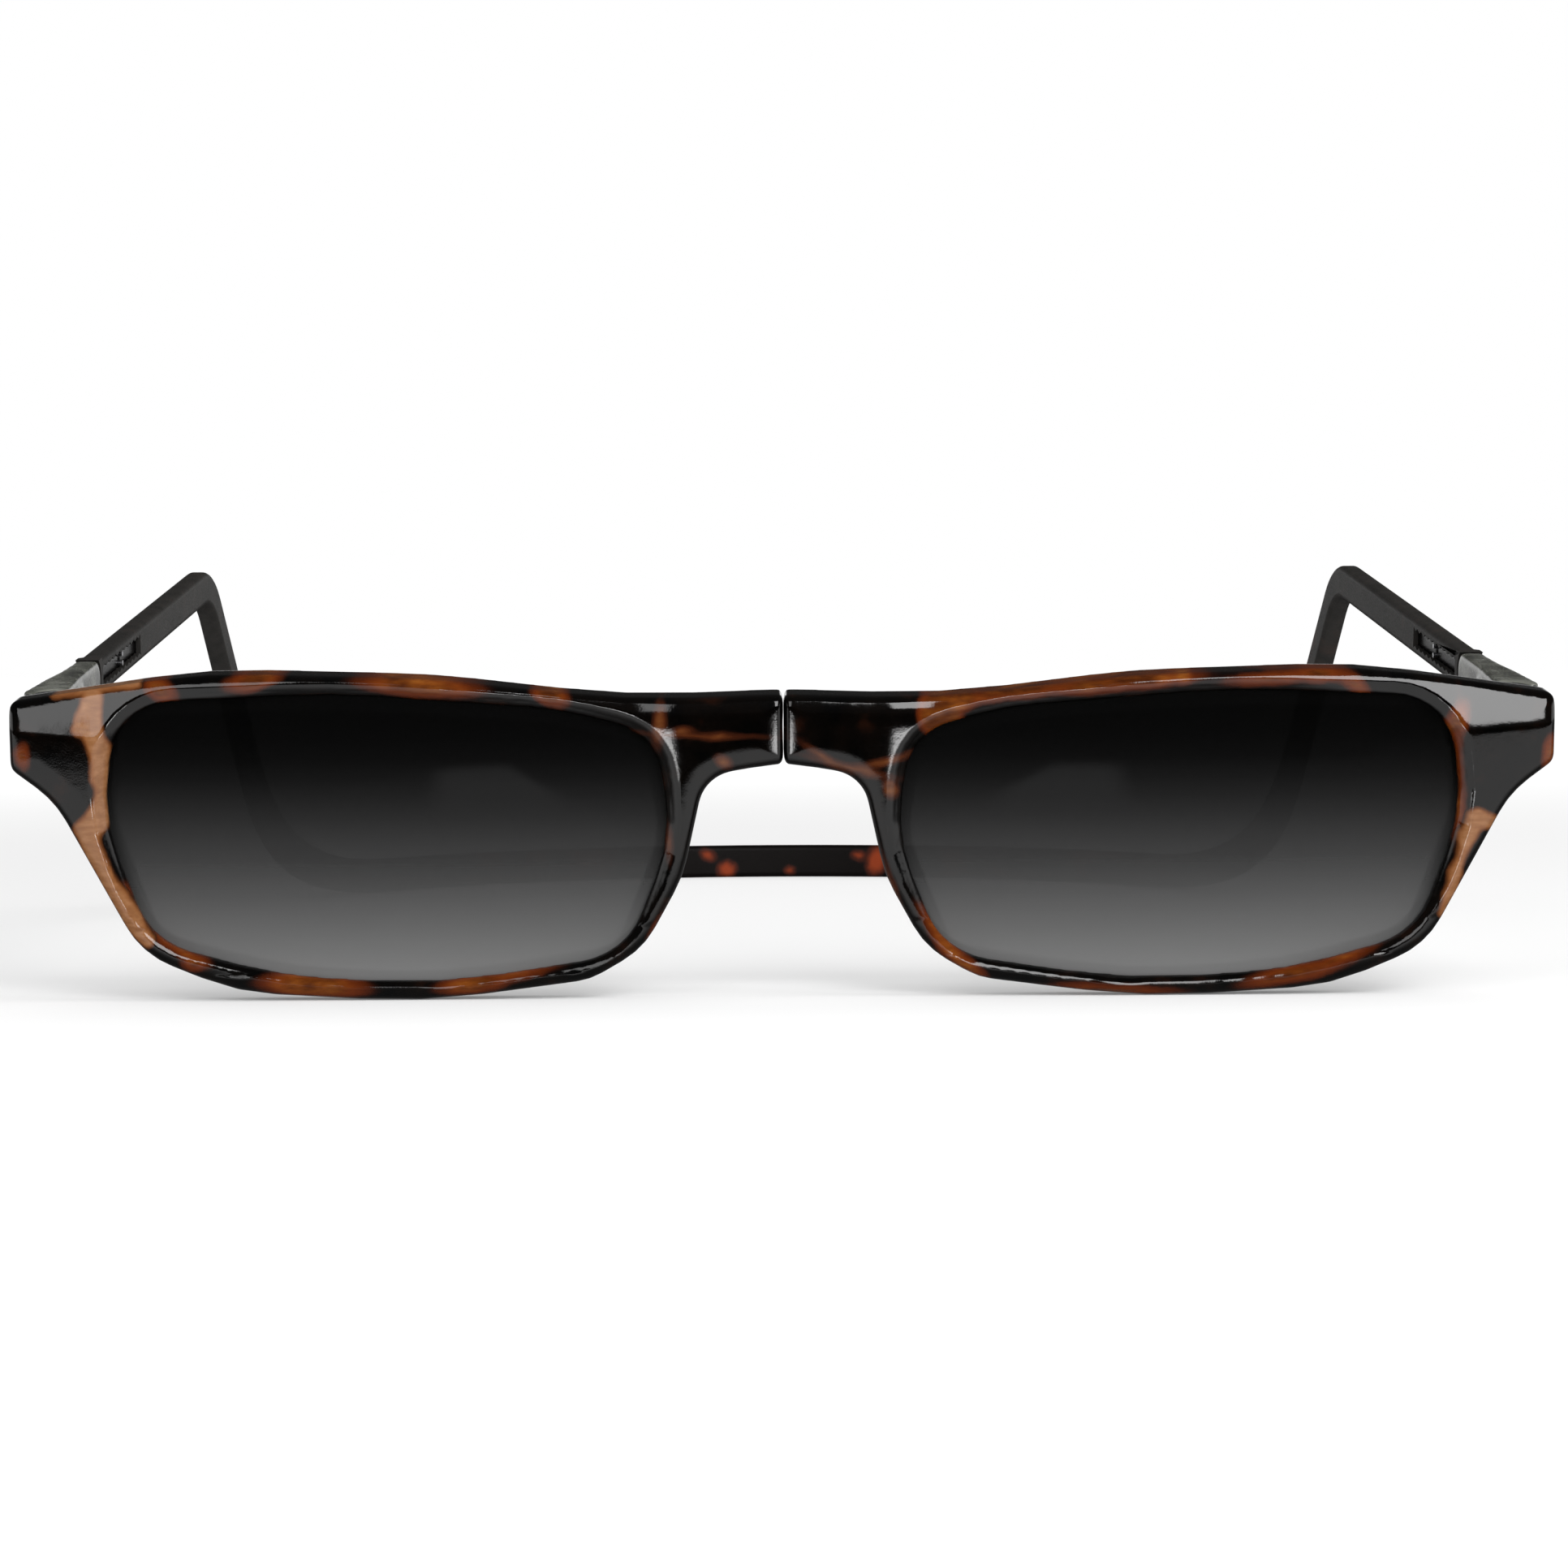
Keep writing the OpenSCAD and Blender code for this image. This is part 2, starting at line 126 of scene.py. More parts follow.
# %% [markdown]
# ## Node helpers
# Every finish is a node tree. One small helper adds a node, sets its values and joins its
# inputs, so that each material below reads as a list of what it does.


# %% Node helpers
def feed(tree, socket, value):
    """Joins an output socket to an input, or sets the input to a value."""
    if isinstance(value, bpy.types.NodeSocket):
        tree.links.new(value, socket)
    else:
        socket.default_value = value


def add_node(tree, kind, settings=None, **inputs):
    """Adds a node and feeds its inputs, by name or by number as i0, i1 and so on."""
    node = tree.nodes.new(kind)
    for name, value in (settings or {}).items():
        setattr(node, name, value)
    for name, value in inputs.items():
        key = name.replace("_", " ")
        numbered = key[0] == "i" and key[1:].isdigit()
        feed(tree, node.inputs[int(key[1:]) if numbered else key], value)
    return node


def maths(tree, operation, first, second=0.0, third=0.0):
    node = add_node(tree, "ShaderNodeMath", {"operation": operation},
                    i0=first, i1=second, i2=third)
    return node.outputs[0]


NUMBER_OUT = ("LENGTH", "DISTANCE", "DOT_PRODUCT")


def vector_maths(tree, operation, first, second=(0, 0, 0), scale=1.0):
    node = add_node(tree, "ShaderNodeVectorMath", {"operation": operation},
                    i0=first, i1=second, i3=scale)
    return node.outputs["Value" if operation in NUMBER_OUT else "Vector"]


def fade(tree, value, start, end, low=0.0, high=1.0):
    """Goes smoothly from low to high as the value goes from start to end."""
    node = add_node(tree, "ShaderNodeMapRange", {"interpolation_type": "SMOOTHSTEP"},
                    Value=value, From_Min=start, From_Max=end, To_Min=low, To_Max=high)
    return node.outputs[0]


def noise(tree, place, scale, detail):
    return add_node(tree, "ShaderNodeTexNoise", Vector=place, Scale=scale, Detail=detail).outputs


def ramp(tree, factor, stops, mode="LINEAR"):
    """Colour ramp through the stops: a list of (place, colour)."""
    node = add_node(tree, "ShaderNodeValToRGB", i0=factor)
    node.color_ramp.interpolation = mode
    elements = node.color_ramp.elements
    while len(elements) < len(stops):
        elements.new(0.5)
    for element, (place, colour) in zip(elements, stops):
        element.position = place
        element.color = colour
    return node.outputs["Color"]


def mix_colour(tree, factor, first, second):
    node = add_node(tree, "ShaderNodeMix", {"data_type": "RGBA"}, i0=factor, i6=first, i7=second)
    return node.outputs[2]


def mix_shader(tree, factor, first, second):
    return add_node(tree, "ShaderNodeMixShader", i0=factor, i1=first, i2=second).outputs[0]


# %% Colours and materials
def linear(part):
    return part / 12.92 if part < 0.04045 else ((part + 0.055) / 1.055) ** 2.4


def rgb(code):
    """Linear colour from a written #rrggbb one."""
    return tuple(linear(int(code[i:i + 2], 16) / 255) for i in (1, 3, 5)) + (1.0,)


def grey(value):
    return (value, value, value, 1.0)


def new_material(name):
    material = bpy.data.materials.new(name)
    material.use_nodes = True
    tree = material.node_tree
    tree.nodes.clear()
    return material, tree, tree.nodes.new("ShaderNodeOutputMaterial")


def seen_directly(tree, path):
    """1 for what the camera sees, also through a lens."""
    return maths(tree, "MAXIMUM", path.outputs["Is Camera Ray"],
                 path.outputs["Is Transmission Ray"])


# %% [markdown]
# ## Floor and world
# A white table before a white backdrop. The camera sees both as plain white, apart from the
# soft shadow on the table, and the same white shows in gloss and through the lenses. In front
# of the rims, outside the picture, a black card is painted into the table's gloss, where a
# photographer would lay one. It draws the black into the gloss of the bridge and the upper rims,
# while the lower rims still reflect the white near their feet, which darkens under them. The
# painted card is shown to gloss alone, and so are two patches beside it that glow as painted light.

# %% Floor
TABLE_SIZE = 6
CLOTH = 0.87
TABLE_LIGHT = 1.05
# Distances from the middle between which the shadowed cloth gives way to plain white, and how
# much plain white there is at the nearer one.
SHADOW_NEAR, SHADOW_FAR, PLAIN_NEAR = 0.06, 0.6, 0.12
TABLE_WHITE = 0.95
# Across the table in mm, and how far in front of the face the painted black card starts there.
CARD_EDGE = [(-100, 66), (-50, 66), (-36, 79), (-22, 81), (-17, 67), (-12, 60), (-8, 46), (8, 46),
             (12, 60), (17, 67), (23, 80), (72, 79), (82, 90), (100, 90)]
# Softness of that edge in mm, ramp places per metre across, and the depth in mm that is 1.
CARD_SOFT, CARD_ACROSS, CARD_DEEP = 4.0, 5.0, 100.0
# Where the two patches that glow in the table's gloss as painted light fade in and out across from
# the middle, where they start ahead of the face, and how much brighter they glow.
PATCH_INNER, PATCH_OUTER, PATCH_AHEAD = (12 * MM, 18 * MM), (31 * MM, 36 * MM), (50 * MM, 74 * MM)
PATCH_LIGHT = 12.0
# Where the shade at the rims' feet fades out ahead of them, and how much white is left in it.
FOOT_AHEAD, FOOT_SHADE = (2 * MM, 22 * MM), 0.12


def painted_card_mask(tree, split):
    """1 on the white table, 0 on the black card painted into its gloss in front of the rims."""
    across = maths(tree, "MULTIPLY_ADD", split.outputs["X"], CARD_ACROSS, 0.5)
    edge = ramp(tree, across, [(0.5 + x * CARD_ACROSS * MM, grey(far / CARD_DEEP))
                               for x, far in CARD_EDGE])
    ahead = maths(tree, "MULTIPLY_ADD", split.outputs["Y"], -1 / (CARD_DEEP * MM),
                  ORIGIN.y / (CARD_DEEP * MM))
    past = maths(tree, "SUBTRACT", ahead, edge)
    return fade(tree, past, -CARD_SOFT / CARD_DEEP, CARD_SOFT / CARD_DEEP, 1.0, 0.0)


def glowing_gloss_patches(tree, split):
    """Two patches of table beside the card that glow in gloss alone: painted light for the flanks
    of the bridge.
    """
    aside = maths(tree, "ABSOLUTE", split.outputs["X"])
    inner = fade(tree, aside, *PATCH_INNER)
    outer = fade(tree, aside, *PATCH_OUTER, 1.0, 0.0)
    ahead = maths(tree, "SUBTRACT", ORIGIN.y, split.outputs["Y"])
    depth = fade(tree, ahead, *PATCH_AHEAD)
    strip = maths(tree, "MULTIPLY", inner, outer)
    return maths(tree, "MULTIPLY", strip, maths(tree, "MULTIPLY", depth, PATCH_LIGHT))


def table_in_gloss(tree, split):
    """How bright the table shows in gloss: white, with the painted card, the glowing patches and
    the painted shade at the rims' feet.
    """
    light = maths(tree, "ADD", glowing_gloss_patches(tree, split), 1.0)
    level = maths(tree, "MULTIPLY", painted_card_mask(tree, split), light)
    ahead = maths(tree, "SUBTRACT", ORIGIN.y, split.outputs["Y"])
    return maths(tree, "MULTIPLY", level, fade(tree, ahead, *FOOT_AHEAD, FOOT_SHADE, 1.0))


def make_floor():
    bpy.ops.mesh.primitive_plane_add(size=TABLE_SIZE, location=(0, 0, 0))
    floor = bpy.context.object
    floor.name = "floor"
    material, tree, output = new_material("table_white")
    place = tree.nodes.new("ShaderNodeTexCoord").outputs["Object"]
    split = add_node(tree, "ShaderNodeSeparateXYZ", i0=place)
    path = tree.nodes.new("ShaderNodeLightPath")
    cloth = add_node(tree, "ShaderNodeBsdfDiffuse", Color=grey(CLOTH)).outputs[0]
    white = add_node(tree, "ShaderNodeEmission", Color=grey(1.0), Strength=TABLE_LIGHT).outputs[0]
    away = vector_maths(tree, "LENGTH", place)
    plain = fade(tree, away, SHADOW_NEAR, SHADOW_FAR, PLAIN_NEAR, 1.0)
    share = maths(tree, "MULTIPLY", seen_directly(tree, path), plain)
    seen = mix_shader(tree, share, cloth, white)
    glossy = add_node(tree, "ShaderNodeEmission", Color=grey(TABLE_WHITE),
                      Strength=table_in_gloss(tree, split)).outputs[0]
    whole = mix_shader(tree, path.outputs["Is Glossy Ray"], seen, glossy)
    tree.links.new(whole, output.inputs["Surface"])
    floor.data.materials.append(material)
    print("table:", TABLE_SIZE, "m across")


make_floor()

# %% [markdown]
# The backdrop stands behind the table and round its sides. Above and behind the camera the
# studio is dim, so that the gloss of the front shows the softboxes and little else.

# %% World
SKY_LIGHT = 0.62
DIM_STUDIO = 0.03
# Parts of a direction: where the backdrop starts round the sides, and where it ends above.
BACKDROP_SIDES, BACKDROP_TOP = (-0.45, -0.25), (0.13, 0.22)


def make_world():
    world = bpy.data.worlds.new("Studio")
    bpy.context.scene.world = world
    world.use_nodes = True
    tree = world.node_tree
    tree.nodes.clear()
    output = tree.nodes.new("ShaderNodeOutputWorld")
    way = tree.nodes.new("ShaderNodeTexCoord").outputs["Generated"]
    split = add_node(tree, "ShaderNodeSeparateXYZ", i0=way)
    behind = fade(tree, split.outputs["Y"], *BACKDROP_SIDES)
    low = fade(tree, split.outputs["Z"], *BACKDROP_TOP, 1.0, 0.0)
    backdrop = maths(tree, "MAXIMUM", maths(tree, "MULTIPLY", behind, low), DIM_STUDIO)
    path = tree.nodes.new("ShaderNodeLightPath")
    lit = add_node(tree, "ShaderNodeBackground", Color=grey(1.0), Strength=SKY_LIGHT).outputs[0]
    white = add_node(tree, "ShaderNodeBackground", Color=grey(1.0), Strength=1.0).outputs[0]
    glossy = add_node(tree, "ShaderNodeBackground", Color=grey(1.0), Strength=backdrop).outputs[0]
    seen = mix_shader(tree, seen_directly(tree, path), lit, white)
    whole = mix_shader(tree, path.outputs["Is Glossy Ray"], seen, glossy)
    tree.links.new(whole, output.inputs["Surface"])


make_world()
bpy.context.scene.view_settings.view_transform = "Standard"
print("backdrop up to:", BACKDROP_TOP)

# %% [markdown]
# ## Lamps
# Two upright softboxes stand left and right of the camera, far enough apart that the bridge
# between them stays black. They draw the pale patches on the end pieces. The key light hangs
# overhead to the right, which lays the soft shadows to the left of the rims. It is kept out of
# the gloss, as a polariser would keep it out.


# %% Lamps
def softbox(name, spot, target, size, level):
    """Area lamp of that size; level is its brightness, where 1 is a white wall."""
    data = bpy.data.lights.new(name, "AREA")
    data.shape = "RECTANGLE"
    data.size, data.size_y = size
    data.energy = level * math.pi * size[0] * size[1]
    lamp = bpy.data.objects.new(name, data)
    bpy.context.scene.collection.objects.link(lamp)
    lamp.location = spot
    lamp.rotation_euler = (Vector(target) - Vector(spot)).to_track_quat("-Z", "Y").to_euler()
    return lamp


softbox("softbox_left", spot=(-0.26, -0.75, 0.33), target=(-0.05, -0.1, 0.03),
        size=(0.30, 0.56), level=2.8)
softbox("softbox_right", spot=(0.25, -0.75, 0.39), target=(0.05, -0.1, 0.03),
        size=(0.34, 0.56), level=7.5)
key = softbox("key", spot=(0.55, -0.32, 0.75), target=(0, 0, 0.02), size=(0.5, 0.5), level=3.2)
key.visible_glossy = False

# %% [markdown]
# ## Tortoiseshell
# Acetate tortoiseshell is near-black plastic with amber pools in it: each pool is honey to tan
# in the middle, burnt orange at its border, and then sinks into the dark. Noise alone would
# put the pools anywhere, so they are placed one by one. Most are ellipses that run together. The
# long tan runs follow lines of changing width, fine streaks cross the bridge, and dark islands
# lie over the rest. Light noise makes all their borders wander.

# %% Pools
# Each run: x and z of its bends and the half width there, in mm.
TAN_RUNS = [
    [(-61.0, 27.4, 0.9), (-61.5, 25.6, 1.1), (-60.6, 23.2, 0.9), (-60.2, 20.6, 1.0),
     (-60.0, 18.7, 0.9), (-60.6, 17.0, 1.1), (-61.8, 15.8, 1.1), (-61.3, 13.6, 0.8),
     (-60.3, 11.4, 0.7), (-59.4, 9.6, 0.9), (-58.2, 7.5, 0.9), (-56.8, 5.7, 0.6)],
    [(-64.5, 28.0, 0.4), (-61.3, 28.4, 0.6), (-57.3, 28.7, 0.4)],
    [(-61.5, 25.6, 0.9), (-62.3, 24.9, 0.6)],
    [(63.3, 15.7, 0.6), (61.7, 16.0, 0.9), (60.9, 14.5, 0.7), (60.4, 12.9, 0.3), (59.9, 11.0, 0.5),
     (59.5, 9.1, 0.6), (59.0, 7.5, 0.5)]]
# Each pool: x and z of its middle, half width, half height in mm, and its turn in degrees.
AMBER_POOLS = [
    (-55.1, 28.2, 1.4, 0.8, 24), (-67.3, 22.5, 0.5, 0.8, 0), (-46.6, 29.2, 2.2, 0.8, -15),
    (-32.2, 28.5, 4.6, 0.9, 4), (-34.4, 29.1, 1.9, 0.7, 20), (-20.7, 27.7, 1.6, 0.9, 30),
    (-57.2, 8.4, 0.8, 2.4, -38), (-55.4, 6.1, 0.5, 1.9, -52), (-53.8, 4.8, 0.4, 1.6, -60),
    (-52.6, 3.6, 0.9, 0.6, 0), (-42.1, 1.5, 4.2, 1.0, 3), (-27.6, 1.6, 2.8, 0.8, -8),
    (-24.4, 2.3, 2.2, 0.3, -10), (-11.4, 6.3, 0.4, 1.2, 28), (68.2, 21.9, 0.7, 1.3, 0),
    (59.7, 24.7, 0.8, 1.7, 25), (59.9, 20.4, 0.3, 3.2, 0), (60.0, 17.0, 0.5, 1.6, 0),
    (43.0, 28.7, 2.8, 0.5, -4), (47.5, 29.1, 1.9, 0.6, 0), (50.6, 28.2, 1.2, 0.5, 35),
    (20.4, 27.9, 4.6, 0.9, -7), (23.6, 28.7, 3.2, 0.7, -6), (31.2, 28.7, 4.8, 0.8, -5),
    (27.0, 28.2, 3.0, 0.7, -5),
    (35.4, 29.2, 0.8, 0.8, 30), (13.9, 25.7, 1.9, 2.2, -20), (15.6, 27.0, 2.0, 1.0, -20),
    (13.6, 6.1, 0.4, 1.8, -35), (14.9, 4.3, 0.6, 2.2, -40), (16.4, 2.9, 0.5, 1.5, -55),
    (29.3, 0.6, 4.2, 0.5, 2), (45.4, 2.0, 3.6, 0.7, -12), (49.2, 3.2, 2.9, 0.4, -22)]
STREAKS = [
    (-7.9, 24.0, 2.2, 0.1, 2), (-9.0, 24.4, 0.7, 0.3, 0), (-5.3, 21.7, 0.7, 0.5, 35),
    (-11.0, 24.9, 0.5, 1.7, 4), (-10.2, 14.1, 0.2, 0.9, 0), (3.6, 21.9, 1.4, 0.25, 32),
    (6.0, 21.0, 2.2, 0.2, 14), (9.2, 21.6, 1.9, 0.3, -14), (7.3, 20.7, 0.8, 0.3, 24),
    (9.5, 19.1, 0.6, 0.8, -24), (9.8, 9.8, 0.2, 1.9, -18), (-5.8, 24.0, 0.7, 0.25, 0)]
ISLANDS = [(-59.3, 13.9, 0.8, 2.4, -8), (53.1, 28.5, 0.8, 0.9, 0)]
THROUGH_MM = 1000
RUN_TOGETHER = 0.5
print("runs:", len(TAN_RUNS), "pools:", len(AMBER_POOLS) + len(STREAKS), "islands:", len(ISLANDS))


# %% Pool fields
def joined(tree, operation, field, gap, soft):
    """The field with one more distance taken in, and a soft change between the two."""
    return gap if field is None else maths(tree, operation, field, gap, soft)


def pool_field(tree, place, pools):
    """Distance in mm to the nearest pool's border, below 0 inside it; pools reach right through."""
    field = None
    for x, z, half_w, half_h, turned in pools:
        slim = min(half_w, half_h)
        mapped = add_node(tree, "ShaderNodeMapping", {"vector_type": "TEXTURE"}, Vector=place,
                          Location=(x, 0, z), Rotation=(0, math.radians(turned), 0),
                          Scale=(half_w, THROUGH_MM, half_h)).outputs[0]
        away = vector_maths(tree, "LENGTH", mapped)
        gap = maths(tree, "MULTIPLY_ADD", away, slim, -slim)
        field = joined(tree, "SMOOTH_MIN", field, gap, RUN_TOGETHER)
    return field


def run_field(tree, place, runs):
    """Distance in mm to the border of the nearest run, a line of changing width."""
    flat = vector_maths(tree, "MULTIPLY", place, (1, 0, 1))
    field = None
    for run in runs:
        for (x0, z0, half0), (x1, z1, half1) in zip(run, run[1:]):
            way = Vector((x1 - x0, 0, z1 - z0))
            rel = vector_maths(tree, "SUBTRACT", flat, (x0, 0, z0))
            along = vector_maths(tree, "DOT_PRODUCT", rel, tuple(way / way.length_squared))
            along = maths(tree, "MINIMUM", maths(tree, "MAXIMUM", along, 0.0), 1.0)
            foot = vector_maths(tree, "SCALE", tuple(way), scale=along)
            away = vector_maths(tree, "DISTANCE", rel, foot)
            half = maths(tree, "MULTIPLY_ADD", along, half1 - half0, half0)
            gap = maths(tree, "SUBTRACT", away, half)
            field = joined(tree, "SMOOTH_MIN", field, gap, RUN_TOGETHER)
    return field


def front_place(tree):
    """Object coordinates in millimetres in the front's own frame."""
    place = tree.nodes.new("ShaderNodeTexCoord").outputs["Object"]
    return add_node(tree, "ShaderNodeMapping", {"vector_type": "TEXTURE"}, Vector=place,
                    Location=tuple(ORIGIN), Rotation=(LEAN, 0, 0), Scale=(MM, MM, MM)).outputs[0]


def warped(tree, place, scale, reach):
    """The place pushed about by noise, so that borders wander."""
    push = noise(tree, place, scale, 2.0)["Color"]
    shift = vector_maths(tree, "SUBTRACT", push, (0.5, 0.5, 0.5))
    return vector_maths(tree, "ADD", place, vector_maths(tree, "SCALE", shift, scale=reach))


# %% Polished plastic
DUST_SCALE, DUST_LOW, DUST_HIGH = 6.0, 0.7, 1.5
GRAIN_DEPTH = 0.02 * MM
WAVE_SCALE, WAVE_DEPTH = 0.45, 0.06 * MM


def gloss_shader(tree, output, place, colour, roughness, grain, specular=0.5, wave=0.0):
    """Plastic with dust in its roughness, a faint grain and the slow wave of a moulded face."""
    dust = noise(tree, place, DUST_SCALE, 4.0)["Fac"]
    rough = add_node(tree, "ShaderNodeMapRange", Value=dust,
                     To_Min=roughness * DUST_LOW, To_Max=roughness * DUST_HIGH).outputs[0]
    bump = add_node(tree, "ShaderNodeBump", Height=dust, Strength=grain, Distance=GRAIN_DEPTH)
    if wave:
        slow = noise(tree, place, WAVE_SCALE, 2.0)["Fac"]
        bump = add_node(tree, "ShaderNodeBump", Height=slow, Strength=wave,
                        Distance=WAVE_DEPTH, Normal=bump.outputs[0])
    shader = add_node(tree, "ShaderNodeBsdfPrincipled", Base_Color=colour, Roughness=rough,
                      Normal=bump.outputs[0])
    shader.inputs["Specular IOR Level"].default_value = specular
    tree.links.new(shader.outputs[0], output.inputs["Surface"])
    return shader


# %% [markdown]
# A pool's colours follow its distance field: the ramp runs from its middle, through the burnt
# border, to the dark around it, and its cover fades out there.

# %% Laying pools
FIELD_SPAN = 1.0


def at(distance):
    """Place on a ramp for a distance in mm from a pool's border."""
    return (distance + FIELD_SPAN) / (2 * FIELD_SPAN)


def ramp_place(tree, field):
    """The same for a field, whose distance changes from point to point."""
    return maths(tree, "MULTIPLY_ADD", field, 0.5 / FIELD_SPAN, 0.5)


def lay_pools(tree, colour, field, core, border, dark, soft):
    """The colour with pools on it, which sink into the dark within soft mm of their border."""
    spot = ramp_place(tree, field)
    cover = ramp(tree, spot, [(at(0.4 * soft), grey(1)), (at(soft), grey(0))], "EASE")
    middle = ramp(tree, spot, [(at(-1.2 * soft), grey(1)), (at(0.1), grey(0))], "EASE")
    edge = ramp(tree, spot, [(at(-0.2), border), (at(0.7 * soft), dark)])
    return mix_colour(tree, cover, colour, mix_colour(tree, middle, edge, core))


# %% Tortoiseshell of the front
# Borders wander slowly and finely: scale of the noise, and how far it pushes in mm.
SLOW_WANDER, FINE_WANDER = (0.3, 0.7), (1.5, 0.16)
FLECK_SHAPE = (0.5, 1, 1.6)
SHELL = {
    "dark": [(0.35, rgb("#020202")), (0.6, rgb("#060403")), (0.75, rgb("#180a05"))],
    "bright": [(0.3, rgb("#562a0b")), (0.5, rgb("#6c3810")), (0.7, rgb("#804a19"))],
    "deep": [(0.3, rgb("#341405")), (0.7, rgb("#542808"))],
    "tan": [(0.3, rgb("#724a2e")), (0.5, rgb("#7e5535")), (0.7, rgb("#8a6142"))],
    "glow": [(0.3, rgb("#482610")), (0.7, rgb("#62391c"))]}


def tortoise_front():
    material, tree, output = new_material("tortoiseshell_front")
    place = front_place(tree)
    wandering = warped(tree, warped(tree, place, *SLOW_WANDER), *FINE_WANDER)
    cloud = noise(tree, place, 0.35, 4.0)["Fac"]
    drawn_out = add_node(tree, "ShaderNodeMapping", Vector=place, Scale=FLECK_SHAPE).outputs[0]
    fleck = noise(tree, drawn_out, 1.2, 5.0)["Fac"]
    dark = ramp(tree, cloud, SHELL["dark"])
    bright = ramp(tree, fleck, SHELL["bright"])
    deep = ramp(tree, fleck, SHELL["deep"])
    tone = fade(tree, noise(tree, place, 0.16, 2.0)["Fac"], 0.43, 0.62)
    amber = mix_colour(tree, tone, deep, bright)
    tan = ramp(tree, fleck, SHELL["tan"])
    glow = ramp(tree, fleck, SHELL["glow"])
    colour = lay_pools(tree, dark, pool_field(tree, wandering, AMBER_POOLS), amber,
                       border=rgb("#5a2408"), dark=rgb("#200a04"), soft=0.5)
    colour = lay_pools(tree, colour, run_field(tree, wandering, TAN_RUNS), tan,
                       border=rgb("#70401e"), dark=rgb("#1c0c06"), soft=0.35)
    colour = lay_pools(tree, colour, pool_field(tree, wandering, STREAKS), glow,
                       border=rgb("#401c0c"), dark=rgb("#140805"), soft=0.4)
    spot = ramp_place(tree, pool_field(tree, wandering, ISLANDS))
    cover = ramp(tree, spot, [(at(-0.1), grey(1)), (at(0.25), grey(0))], "EASE")
    colour = mix_colour(tree, cover, colour, rgb("#050404"))
    gloss_shader(tree, output, place, colour, roughness=0.07, grain=0.2, wave=0.3)
    return material


# %% [markdown]
# The headband is cut from the same plastic, with a plainer, satin surface. Its arms are nearly
# even grey-black, and the pools come in behind the ears. There they follow from noise, and
# a few are placed on the stretch of the band that shows between the rims.

# %% Tortoiseshell of the headband
BAND_POOLS = [(-5.7, 1.0, 1.2, 1.1, 0), (-8.2, 3.0, 0.9, 0.6, 20), (14.3, 2.2, 1.2, 1.9, 10),
              (12.0, 2.8, 0.7, 0.5, 0), (2.8, 0.9, 0.5, 0.4, 0)]
BACK_DARK = rgb("#0a0605")
# How far back, in mm, the pools start behind the ears, and where the back of the band starts.
PAST_EAR, AT_BACK = (2, 30), (84, 92)
# Beyond these distances from the middle, the rims hide the band's back.
BACK_SIDES = (16, 24)


def tortoise_band():
    material, tree, output = new_material("tortoiseshell_band")
    place = tree.nodes.new("ShaderNodeTexCoord").outputs["Object"]
    place = vector_maths(tree, "SCALE", place, scale=1 / MM)
    split = add_node(tree, "ShaderNodeSeparateXYZ", i0=place)
    past_ear = fade(tree, split.outputs["Y"], *PAST_EAR)
    at_back = fade(tree, split.outputs["Y"], *AT_BACK)
    patches = noise(tree, warped(tree, place, 0.2, 4.0), 0.14, 2.0)["Fac"]
    cloud = noise(tree, place, 0.5, 4.0)["Fac"]
    dark = ramp(tree, cloud, [(0.35, rgb("#282725")), (0.6, rgb("#2f2d2b")),
                              (0.8, rgb("#362e2a"))])
    shell = ramp(tree, patches, [(0.5, rgb("#0c0706")), (0.57, rgb("#3a1407")),
                                 (0.64, rgb("#7a3812"))])
    colour = mix_colour(tree, maths(tree, "MULTIPLY", past_ear, 0.8), dark, shell)
    plain = mix_colour(tree, at_back, colour, BACK_DARK)
    field = pool_field(tree, warped(tree, place, 0.6, 0.8), BAND_POOLS)
    pooled = lay_pools(tree, plain, field, rgb("#7c2f10"),
                       border=rgb("#4a1a08"), dark=rgb("#1a0a06"), soft=0.6)
    sides = fade(tree, maths(tree, "ABSOLUTE", split.outputs["X"]), *BACK_SIDES)
    between = maths(tree, "MULTIPLY", at_back, maths(tree, "SUBTRACT", 1.0, sides))
    colour = mix_colour(tree, between, colour, pooled)
    gloss_shader(tree, output, place, colour, roughness=0.5, grain=0.25, specular=0.14)
    return material


FRONT_SHELL = tortoise_front()
BAND_SHELL = tortoise_band()

# %% [markdown]
# ## Grey plastic
# The adjusters are moulded in a milky, slightly clear grey. Real light enters such plastic and
# comes out paler in the thick middle than at the edges, which a little scattering gives. The
# thin tongue inside the sleeve is painted near black, without scattering and with little gloss,
# as painted shade where it shows through the slot.


# %% Adjuster plastic
# Behind this depth in mm the piece is all tongue, which is painted in shade.
TONGUE_START = 28.5
# Gloss of the plain piece, and the low gloss that goes with the tongue's painted shade.
PLAIN_GLOSS, TONGUE_GLOSS = 0.5, 0.03
SCATTER = 0.3


